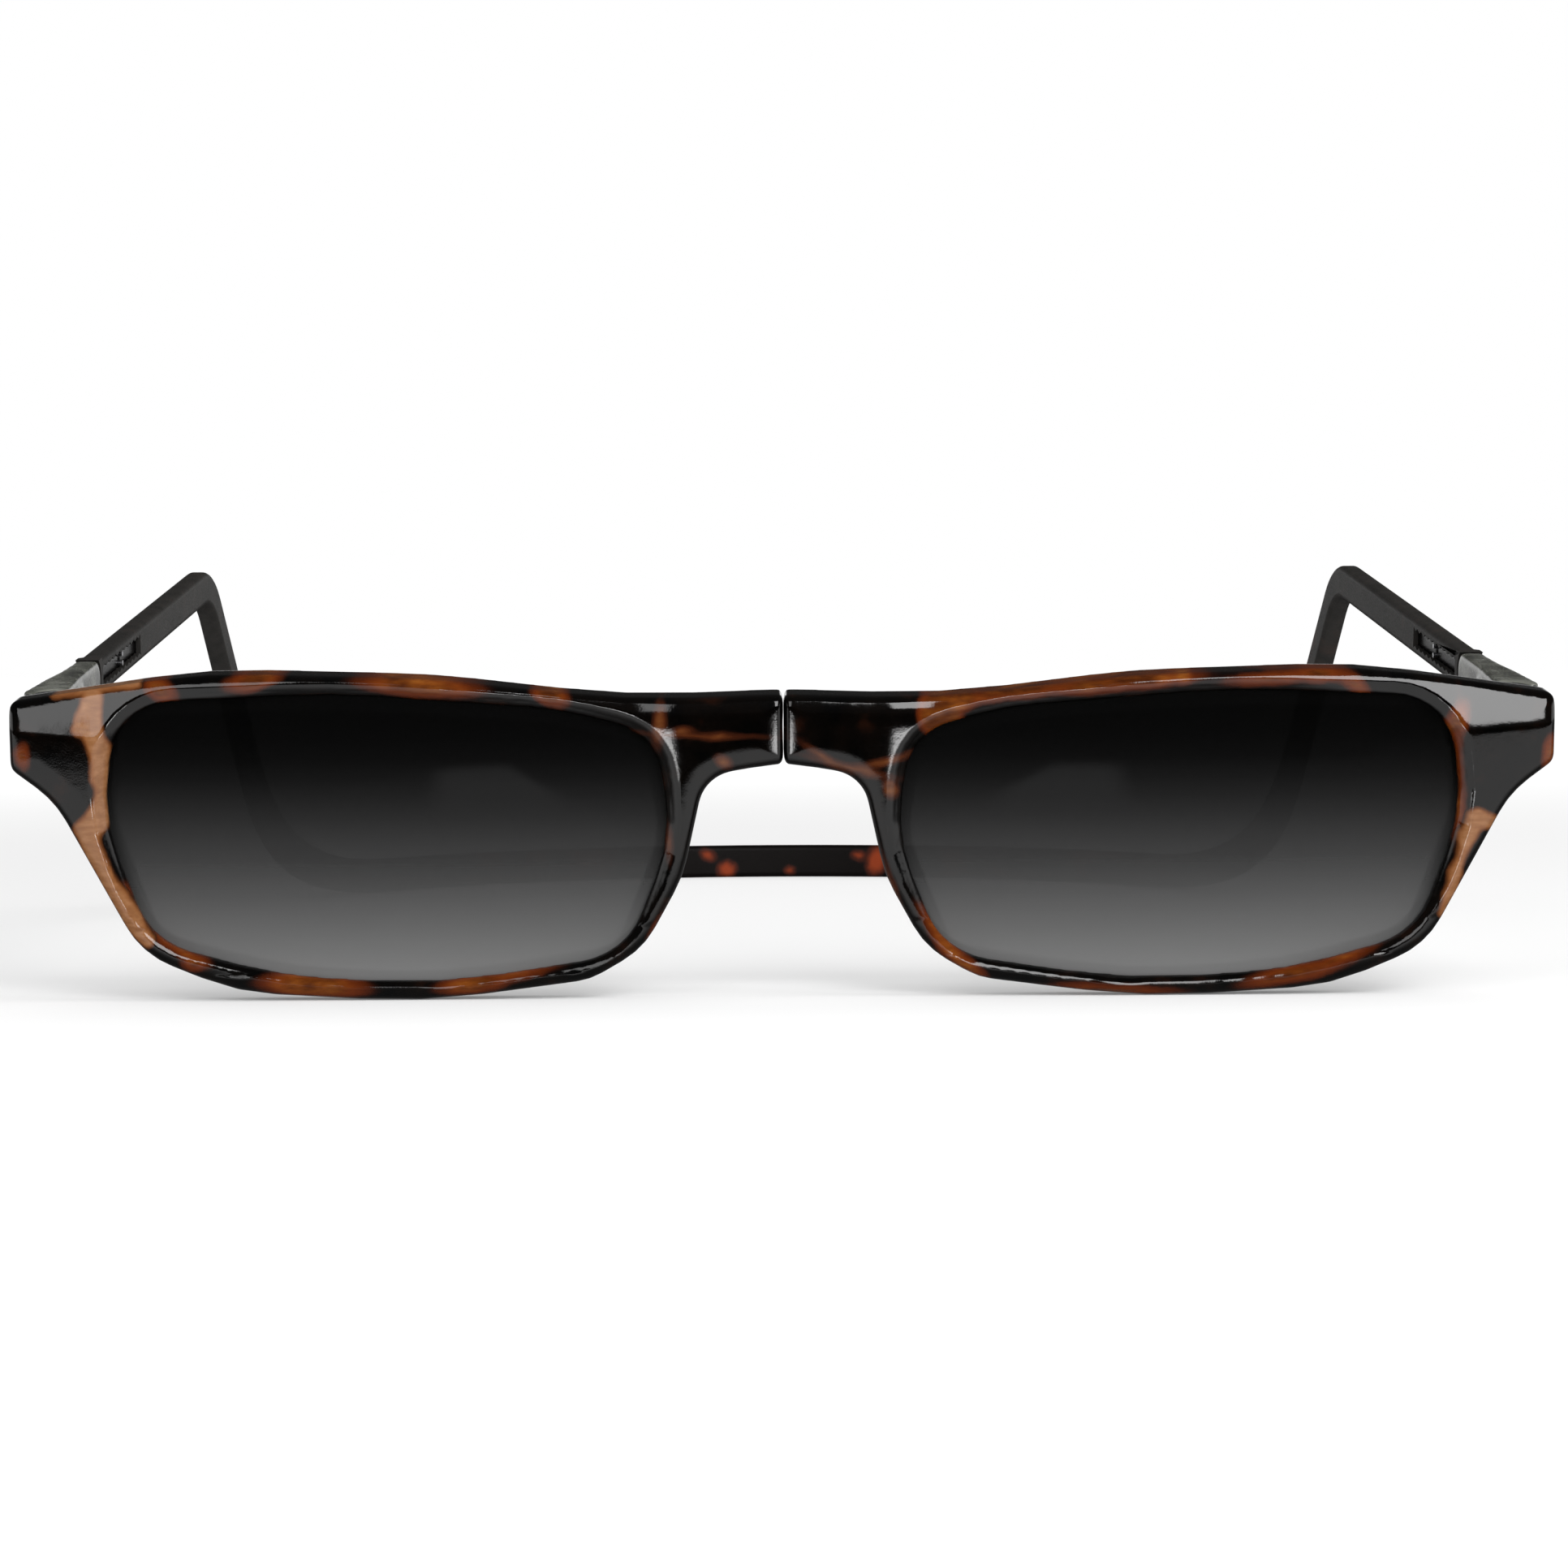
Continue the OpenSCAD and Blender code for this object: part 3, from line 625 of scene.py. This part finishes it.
def smoke_plastic():
    material, tree, output = new_material("smoke_plastic")
    place = front_place(tree)
    cloud = noise(tree, place, 0.28, 3.0)["Fac"]
    milky = ramp(tree, cloud, [(0.35, rgb("#363733")), (0.5, rgb("#50514b")),
                               (0.65, rgb("#6c6d66"))])
    back = add_node(tree, "ShaderNodeSeparateXYZ", i0=place).outputs["Y"]
    tongue = fade(tree, back, TONGUE_START - 1, TONGUE_START)
    # The tongue is painted near black: painted shade of the slot around it.
    colour = mix_colour(tree, tongue, milky, rgb("#0c0b0b"))
    shader = gloss_shader(tree, output, place, colour, roughness=0.22, grain=0.1)
    gloss = maths(tree, "MULTIPLY_ADD", tongue, TONGUE_GLOSS - PLAIN_GLOSS, PLAIN_GLOSS)
    tree.links.new(gloss, shader.inputs["Specular IOR Level"])
    scatter = maths(tree, "MULTIPLY_ADD", tongue, -SCATTER, SCATTER)
    tree.links.new(scatter, shader.inputs["Subsurface Weight"])
    shader.inputs["Subsurface Radius"].default_value = (1.0, 1.0, 0.95)
    shader.inputs["Subsurface Scale"].default_value = 0.8 * MM
    return material


# %% [markdown]
# ## Lens tint
# The lenses are dipped: black at the top, clear grey at the bottom. Near its edge a lens has a
# painted shade of the dark wall of its groove, a band about a millimetre wide. The lens outline
# is convex, so the distance from it is the greatest of the distances from its sides.

# %% Lens tint
# The tint is even above a height in mm, and pales evenly below it; shades go from 0 to 255.
TINT_START, TINT_SOFT = 22.0, 2.0
TOP_SHADE, PALER_PER_MM = 5.0, 5.55
TINT_STOPS = [2.5 + 1.75 * i for i in range(15)]
# Share of light that passes one face of the lens at some heights.
CLEAR = [(2.5, 0.12), (8.0, 0.11), (13.0, 0.095), (14.6, 0.066), (17.0, 0.052), (24.0, 0.03)]
# Height in mm at the end of the ramps, and corners of the right lens: x and z in mm.
TINT_TOP = 30.0
LENS_CORNERS = [(11.3, 23.9), (20, 26.2), (40, 27.7), (58.9, 26.9), (60.9, 17), (56.6, 5.2),
                (45, 2.1), (31, 1.3), (14.2, 3.7), (9.9, 14.5)]
CORNER_SOFT = 1.6
# Width of the painted shade of the groove and half its soft edge in mm, the heights between which
# it grows, and its depth at both.
GROOVE_SHADE_WIDTH, GROOVE_SOFT = 1.15, 0.2
GROOVE_GROWS, GROOVE_DEPTHS = (3.0, 14.0), (0.06, 0.35)
DARKEST = 0.0004


def lens_sides():
    """For each side of the lens outline: a corner, and the direction that points out of it."""
    for (x0, z0), (x1, z1) in zip(LENS_CORNERS, LENS_CORNERS[1:] + LENS_CORNERS[:1]):
        length = math.hypot(x1 - x0, z1 - z0)
        yield x0, z0, (z0 - z1) / length, (x1 - x0) / length


def inside_edge(tree, across, height):
    """Distance in mm from the lens outline, below 0 inside it."""
    field = None
    for x0, z0, out_x, out_z in lens_sides():
        part = maths(tree, "MULTIPLY_ADD", height, out_z, -(x0 * out_x + z0 * out_z))
        gap = maths(tree, "MULTIPLY_ADD", across, out_x, part)
        field = joined(tree, "SMOOTH_MAX", field, gap, CORNER_SOFT)
    return field


def tint_less_light(z):
    """The tint's shade at a height, without the white that comes through both faces there."""
    below = TINT_START - z
    shade = TOP_SHADE + PALER_PER_MM * (below + math.hypot(below, TINT_SOFT)) / 2
    passed = np.interp(z, *zip(*CLEAR)) ** 2
    return grey(max(float(linear(shade / 255) - passed), DARKEST))


def lens_tint():
    material, tree, output = new_material("lens_tint")
    place = front_place(tree)
    split = add_node(tree, "ShaderNodeSeparateXYZ", i0=place)
    height = split.outputs["Z"]
    up = maths(tree, "DIVIDE", height, TINT_TOP)
    colour = ramp(tree, up, [(z / TINT_TOP, tint_less_light(z)) for z in TINT_STOPS])
    edge = inside_edge(tree, maths(tree, "ABSOLUTE", split.outputs["X"]), height)
    groove = fade(tree, edge, -GROOVE_SHADE_WIDTH - GROOVE_SOFT, -GROOVE_SHADE_WIDTH + GROOVE_SOFT)
    depth = fade(tree, height, *GROOVE_GROWS, *GROOVE_DEPTHS)
    # Near the outline the colour darkens to painted shade of the groove's wall, more so higher up.
    colour = mix_colour(tree, maths(tree, "MULTIPLY", groove, depth), colour, rgb("#070707"))
    clear = ramp(tree, up, [(z / TINT_TOP, grey(share)) for z, share in CLEAR])
    shader = gloss_shader(tree, output, place, colour, roughness=0.04, grain=0.0, specular=0.01)
    through = add_node(tree, "ShaderNodeBsdfTransparent", Color=grey(1.0))
    whole = mix_shader(tree, clear, shader.outputs[0], through.outputs[0])
    tree.links.new(whole, output.inputs["Surface"])
    return material


# %% [markdown]
# ## Metals
# The hinges and screws are bright steel, the magnets nickel-plated.


# %% Metals
WORN = 0.8


def metal(name, shade, roughness):
    material, tree, output = new_material(name)
    place = front_place(tree)
    marks = noise(tree, place, 9.0, 4.0)["Fac"]
    worn = tuple(c * WORN for c in rgb(shade)[:3]) + (1.0,)
    colour = ramp(tree, marks, [(0.3, worn), (0.7, rgb(shade))])
    shader = gloss_shader(tree, output, place, colour, roughness, grain=0.3)
    shader.inputs["Metallic"].default_value = 1.0
    return material


SMOKE = smoke_plastic()
TINTED = lens_tint()
STEEL = metal("hinge_steel", "#c6c6ca", 0.25)
NICKEL = metal("magnet_nickel", "#d4d0c8", 0.15)
print("materials:", len(bpy.data.materials))

# %% [markdown]
# ## Shaping helpers
# A CAD node stays as it is, so a piece with softer edges starts as a copy of its mesh. The copy
# arrives as loose triangles and is merged first.


# %% Shaping helpers
WELD = 1e-6


def only(piece):
    if bpy.context.mode != "OBJECT":
        bpy.ops.object.mode_set(mode="OBJECT")
    bpy.ops.object.select_all(action="DESELECT")
    piece.select_set(True)
    bpy.context.view_layer.objects.active = piece


def copy_node(node, name):
    piece = bpy.data.objects.new(name, nodes[node].data.copy())
    bpy.context.scene.collection.objects.link(piece)
    only(piece)
    piece.data.materials.clear()
    bpy.ops.object.mode_set(mode="EDIT")
    bpy.ops.mesh.select_all(action="SELECT")
    bpy.ops.mesh.remove_doubles(threshold=WELD)
    bpy.ops.object.mode_set(mode="OBJECT")
    return piece


def apply_modifier(piece, kind, **settings):
    only(piece)
    modifier = piece.modifiers.new(kind.lower(), kind)
    for name, value in settings.items():
        setattr(modifier, name, value)
    bpy.ops.object.modifier_apply(modifier=modifier.name)


def smooth(piece, angle):
    only(piece)
    bpy.ops.object.shade_smooth_by_angle(angle=math.radians(angle))


def finish_piece(piece, material, body, slot, *replaced):
    piece.data.materials.append(material)
    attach(piece, body)
    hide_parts(*replaced)
    print(piece.name, "faces:", len(piece.data.polygons))


def mesh_places(piece):
    places = np.empty(len(piece.data.vertices) * 3)
    piece.data.vertices.foreach_get("co", places)
    return places.reshape(-1, 3)


# %% [markdown]
# ## Half fronts
# Each half front is one moulding: rim, half bridge and end piece. The CAD solid has the right
# outline with crisp bevels. A real one is tumbled until every edge is soft, so the copy is
# remeshed finely and relaxed. Its face isn't flat either: it is crowned towards the outline,
# falls away in a wide chamfer to the lens, rolls back along the top of the end piece and
# steps down beside the bridge. These forms catch the light, so each gets its own term in the
# depth by which a point of the face is drawn back. The copy is worked on upright.

# %% Edges of the face
# A border segment further outside the lens than this many mm belongs to the outline.
OPENING_REACH = 0.75


def face_borders(piece):
    """Border segments of the face in mm as x, z pairs: first the outline's, then the opening's."""
    # The flat of the face looks straight ahead and has depth 0.
    face = [p for p in piece.data.polygons
            if p.normal.y < -0.999 and p.center.y < 0.05 * MM]
    used = {}
    for p in face:
        for key in p.edge_keys:
            used[key] = used.get(key, 0) + 1
    keys = [key for key, count in used.items() if count == 1]
    spots = [(v.co.x / MM, v.co.z / MM) for v in piece.data.vertices]
    segments = np.array([[spots[i] for i in key] for key in keys])
    middle = segments.mean(axis=1)
    x, z = np.abs(middle[:, 0]), middle[:, 1]
    from_sides = np.full(len(x), -np.inf)
    for x0, z0, out_x, out_z in lens_sides():
        from_sides = np.maximum(from_sides, (x - x0) * out_x + (z - z0) * out_z)
    in_opening = from_sides < OPENING_REACH
    return segments[~in_opening], segments[in_opening]


def edge_distance(points, segments):
    """Smallest distance from each point to a set of segments."""
    best = np.full(len(points), np.inf)
    for start, end in segments:
        way = end - start
        t = np.clip(((points - start) @ way) / (way @ way + 1e-18), 0, 1)
        best = np.minimum(best, np.linalg.norm(points - start - t[:, None] * way, axis=1))
    return best


def enclosed(points, segments):
    """True for each point that the closed loops of segments go round."""
    crossings = np.zeros(len(points), dtype=int)
    for (x0, z0), (x1, z1) in segments:
        if z0 != z1:
            level = (z0 > points[:, 1]) != (z1 > points[:, 1])
            crossings += level & (points[:, 0] < x0 + (x1 - x0) * (points[:, 1] - z0) / (z1 - z0))
    return crossings % 2 == 1


# %% Relief of the face
# All in mm. The crown lowers the face towards its outline.
CROWN, CROWN_REACH = 0.22, 2.0
# The chamfer falls to the lens, with only a share of that near the rims' bottom.
LENS_FALL, LENS_FALL_REACH = 0.45, 0.65
LOW_SHARE, FALL_GROWS = 0.15, (4, 12)
# The top rolls back above a line that is lowest at ROLL_LOWEST and grows in over ROLL_GROWS.
ROLL_SLOPE, ROLL_START, ROLL_SOFT = 0.28, 23.7, 0.5
ROLL_LOWEST, ROLL_INWARDS, ROLL_OUTWARDS = 61, 0.26, 0.09
ROLL_GROWS = (42, 50)
# Beside the bridge the face steps down and comes back up.
BRIDGE_STEP, STEP_DOWN, STEP_UP = 0.32, (9.0, 13.6), (16, 28)


def eased(value, start, end):
    t = np.clip((value - start) / (end - start), 0, 1)
    return t * t * (3 - 2 * t)


def face_relief(points, outline, opening):
    """Depth in mm by which each x, z point of the face is drawn back."""
    x, z = np.abs(points[:, 0]), points[:, 1]
    from_outline = np.where(enclosed(points, outline), edge_distance(points, outline), 0)
    from_opening = np.where(enclosed(points, opening), 0, edge_distance(points, opening))
    crown = CROWN * (1 - np.minimum(from_outline / CROWN_REACH, 1)) ** 2
    fall = LENS_FALL * np.maximum(0, 1 - from_opening / LENS_FALL_REACH)
    fall *= LOW_SHARE + (1 - LOW_SHARE) * eased(z, *FALL_GROWS)
    inwards, outwards = np.maximum(0, ROLL_LOWEST - x), np.maximum(0, x - ROLL_LOWEST)
    above = np.maximum(0, z - (ROLL_START + inwards * ROLL_INWARDS + outwards * ROLL_OUTWARDS))
    roll = ROLL_SLOPE * (np.sqrt(above ** 2 + ROLL_SOFT ** 2) - ROLL_SOFT)
    roll *= eased(x, *ROLL_GROWS)
    step = BRIDGE_STEP * eased(x, *STEP_DOWN) * (1 - eased(x, *STEP_UP))
    return crown + fall + roll + step


# %% Half fronts
FRONT_VOXEL = 0.2 * MM
RELAX_BEFORE, RELAX_AFTER = 5, 3
# The relief fades out at this depth behind the face.
RELIEF_DEPTH = 2.4 * MM
# The magnets pull the halves together: the rounded parting edges end at these x, in mm.
PARTING_FROM, PARTING_TO = (0.25, 1.0, 3.0), (0.02, 0.42, 3.0)


def half_front(side):
    piece = copy_node(f"{side}_front_frame", f"{side}_front")
    piece.data.transform(TURN.transposed().to_4x4() @ Matrix.Translation(-ORIGIN))
    outline, opening = face_borders(piece)
    apply_modifier(piece, "REMESH", mode="VOXEL", voxel_size=FRONT_VOXEL)
    apply_modifier(piece, "SMOOTH", factor=0.5, iterations=RELAX_BEFORE)
    places = mesh_places(piece)
    near = places[:, 1] < RELIEF_DEPTH
    relief = face_relief(places[near][:, [0, 2]] / MM, outline, opening) * MM
    places[near, 1] += relief * np.clip(1 - places[near][:, 1] / RELIEF_DEPTH, 0, 1)
    across = np.abs(places[:, 0]) / MM
    close = across < PARTING_FROM[-1]
    drawn = np.interp(across[close], PARTING_FROM, PARTING_TO)
    places[close, 0] = np.sign(places[close, 0]) * drawn * MM
    piece.data.vertices.foreach_set("co", places.ravel())
    apply_modifier(piece, "SMOOTH", factor=0.5, iterations=RELAX_AFTER)
    piece.data.transform(Matrix.Translation(ORIGIN) @ TURN.to_4x4())
    piece.data.update()
    smooth(piece, 60)
    finish_piece(piece, FRONT_SHELL, f"{side}_half", "tortoiseshell", f"{side}_front_frame")


for side in ("left", "right"):
    half_front(side)

# %% [markdown]
# ## Adjusters
# The grey adjusters are small mouldings with a thick front end, a round end that seats in the
# sleeve and a tongue inside it. A fine remesh rounds them all over. The grid of a remesh
# leaves steps on slanted faces, so the copy is first turned in line with the arm, and the
# axis on which it slides says how.


# %% Adjusters
ADJUSTER_VOXEL = 0.12 * MM
ADJUSTER_RELAX = 50
# In mm from the piece's front end: where the ridge is, and how much of the piece counts as its
# thick front; then the ridge's half length, its rise and its half height.
RIDGE_AT, RIDGE_REACH = 9.5, 16.0
RIDGE_HALF, RIDGE_RISE, RIDGE_HIGH = 1.0, 0.35, 1.6
# The ridge grows in between these distances from the middle of the piece, on its inner side.
RIDGE_INNER = (0.2, 0.8)


def along_arm(side):
    """Rotation that takes +Y to the direction of the arm."""
    back = -Vector(joints[f"{side}_adjust"]["axis"]).normalized()
    across = back.cross(Vector((0, 0, 1))).normalized()
    return Matrix((across, back, across.cross(back))).transposed()


def raise_ridge(piece, side):
    """A low upright ridge on the inner face, over the joint inside the moulding."""
    inner_way = 1 if side == "left" else -1
    places = mesh_places(piece)
    inward = places[:, 0] * inner_way
    from_front = places[:, 1] - places[:, 1].min()
    front = from_front < RIDGE_REACH * MM
    along = from_front / MM - RIDGE_AT
    level = (places[:, 2] - places[front, 2].mean()) / MM
    rise = RIDGE_RISE * np.exp(-(along / RIDGE_HALF) ** 2)
    rise *= np.clip(RIDGE_HIGH - np.abs(level), 0, 1)
    rise *= eased((inward - inward[front].mean()) / MM, *RIDGE_INNER)
    places[:, 0] += rise * front * MM * inner_way
    piece.data.vertices.foreach_set("co", places.ravel())


for side in ("left", "right"):
    piece = copy_node(f"{side}_adjuster", f"{side}_adjuster_shell")
    turn = along_arm(side).to_4x4()
    piece.data.transform(turn.inverted())
    apply_modifier(piece, "REMESH", mode="VOXEL", voxel_size=ADJUSTER_VOXEL)
    apply_modifier(piece, "SMOOTH", factor=0.5, iterations=ADJUSTER_RELAX)
    raise_ridge(piece, side)
    piece.data.transform(turn)
    smooth(piece, 60)
    finish_piece(piece, SMOKE, f"{side}_slider", "smoke_plastic", f"{side}_adjuster")

# %% [markdown]
# ## Headband
# One long strip. Its long edges are selected by the turn between their faces and bevelled, which
# is what the mould's rounded corners look like. The rounding starts a little behind the mouth
# of each sleeve, where the long edges are split, and the teeth of the slots stay crisp.

# %% Headband
BAND_ROUND = 0.65 * MM
MOUTH = 29 * MM
# Edges this near to the slot's middle, and no further back than its end, belong to the slot.
SLOT_HALF, SLOT_END = 1.3 * MM, 70 * MM
SHARP = math.radians(50)
LONG_EDGE = 20 * MM
NEARLY = 0.1 * MM
FLAT = math.radians(0.5)
headband = copy_node("headband", "headband_shell")
bpy.ops.object.mode_set(mode="EDIT")
bpy.ops.mesh.select_all(action="SELECT")
bpy.ops.mesh.dissolve_limited(angle_limit=FLAT)
bpy.ops.object.mode_set(mode="OBJECT")


def is_sharp(edge):
    return len(edge.link_faces) == 2 and edge.calc_face_angle(0) > SHARP


def split_behind_mouth(mesh):
    """Splits the long edges a little behind the sleeve's mouth, where the rounding starts."""
    for edge in [e for e in mesh.edges if is_sharp(e)]:
        first, last = sorted(edge.verts, key=lambda v: to_front(v.co).y)
        start, end = to_front(first.co).y, to_front(last.co).y
        if start < MOUTH < end and end - start > LONG_EDGE:
            bmesh.utils.edge_split(edge, first, (MOUTH - start) / (end - start))


def select_long_edges(piece):
    """Selects the sharp edges that run along the strip's corners, not those of the slots."""
    mesh = bmesh.new()
    mesh.from_mesh(piece.data)
    split_behind_mouth(mesh)
    mesh.select_mode = {"EDGE"}
    for part in (*mesh.verts, *mesh.edges, *mesh.faces):
        part.select = False
    slot_height = to_front(sum(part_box("right_detent_pins"), Vector()) / 2).z
    chosen = 0
    for edge in mesh.edges:
        ends = [to_front(v.co) for v in edge.verts]
        spot = (ends[0] + ends[1]) / 2
        in_slot = spot.y < SLOT_END and abs(spot.z - slot_height) < SLOT_HALF
        if is_sharp(edge) and not in_slot and min(e.y for e in ends) > MOUTH - NEARLY:
            edge.select_set(True)
            chosen += 1
    mesh.to_mesh(piece.data)
    mesh.free()
    return chosen


print("long edges:", select_long_edges(headband))
only(headband)
bpy.context.tool_settings.mesh_select_mode = (False, True, False)
bpy.ops.object.mode_set(mode="EDIT")
bpy.ops.mesh.bevel(offset=BAND_ROUND, segments=4, profile=0.5, affect="EDGES",
                   clamp_overlap=False)
bpy.ops.object.mode_set(mode="OBJECT")
smooth(headband, 35)
apply_modifier(headband, "WEIGHTED_NORMAL", weight=100, keep_sharp=True)
finish_piece(headband, BAND_SHELL, "headband", "tortoiseshell", "headband")

# %% [markdown]
# ## Lenses and metal pieces
# These keep their CAD shape and get their finish.

# %% Finishes on CAD nodes
FINISH = {"lens": TINTED, "detent_pins": STEEL, "temple_hinge": STEEL, "front_hinge": STEEL,
          "hinge_screw": STEEL, "magnet": NICKEL}
for side in ("left", "right"):
    for kind, material in FINISH.items():
        node = nodes[f"{side}_{kind}"]
        node.data.materials.clear()
        node.data.materials.append(material)
        smooth(node, 30)
print("finished CAD nodes:", 2 * len(FINISH))
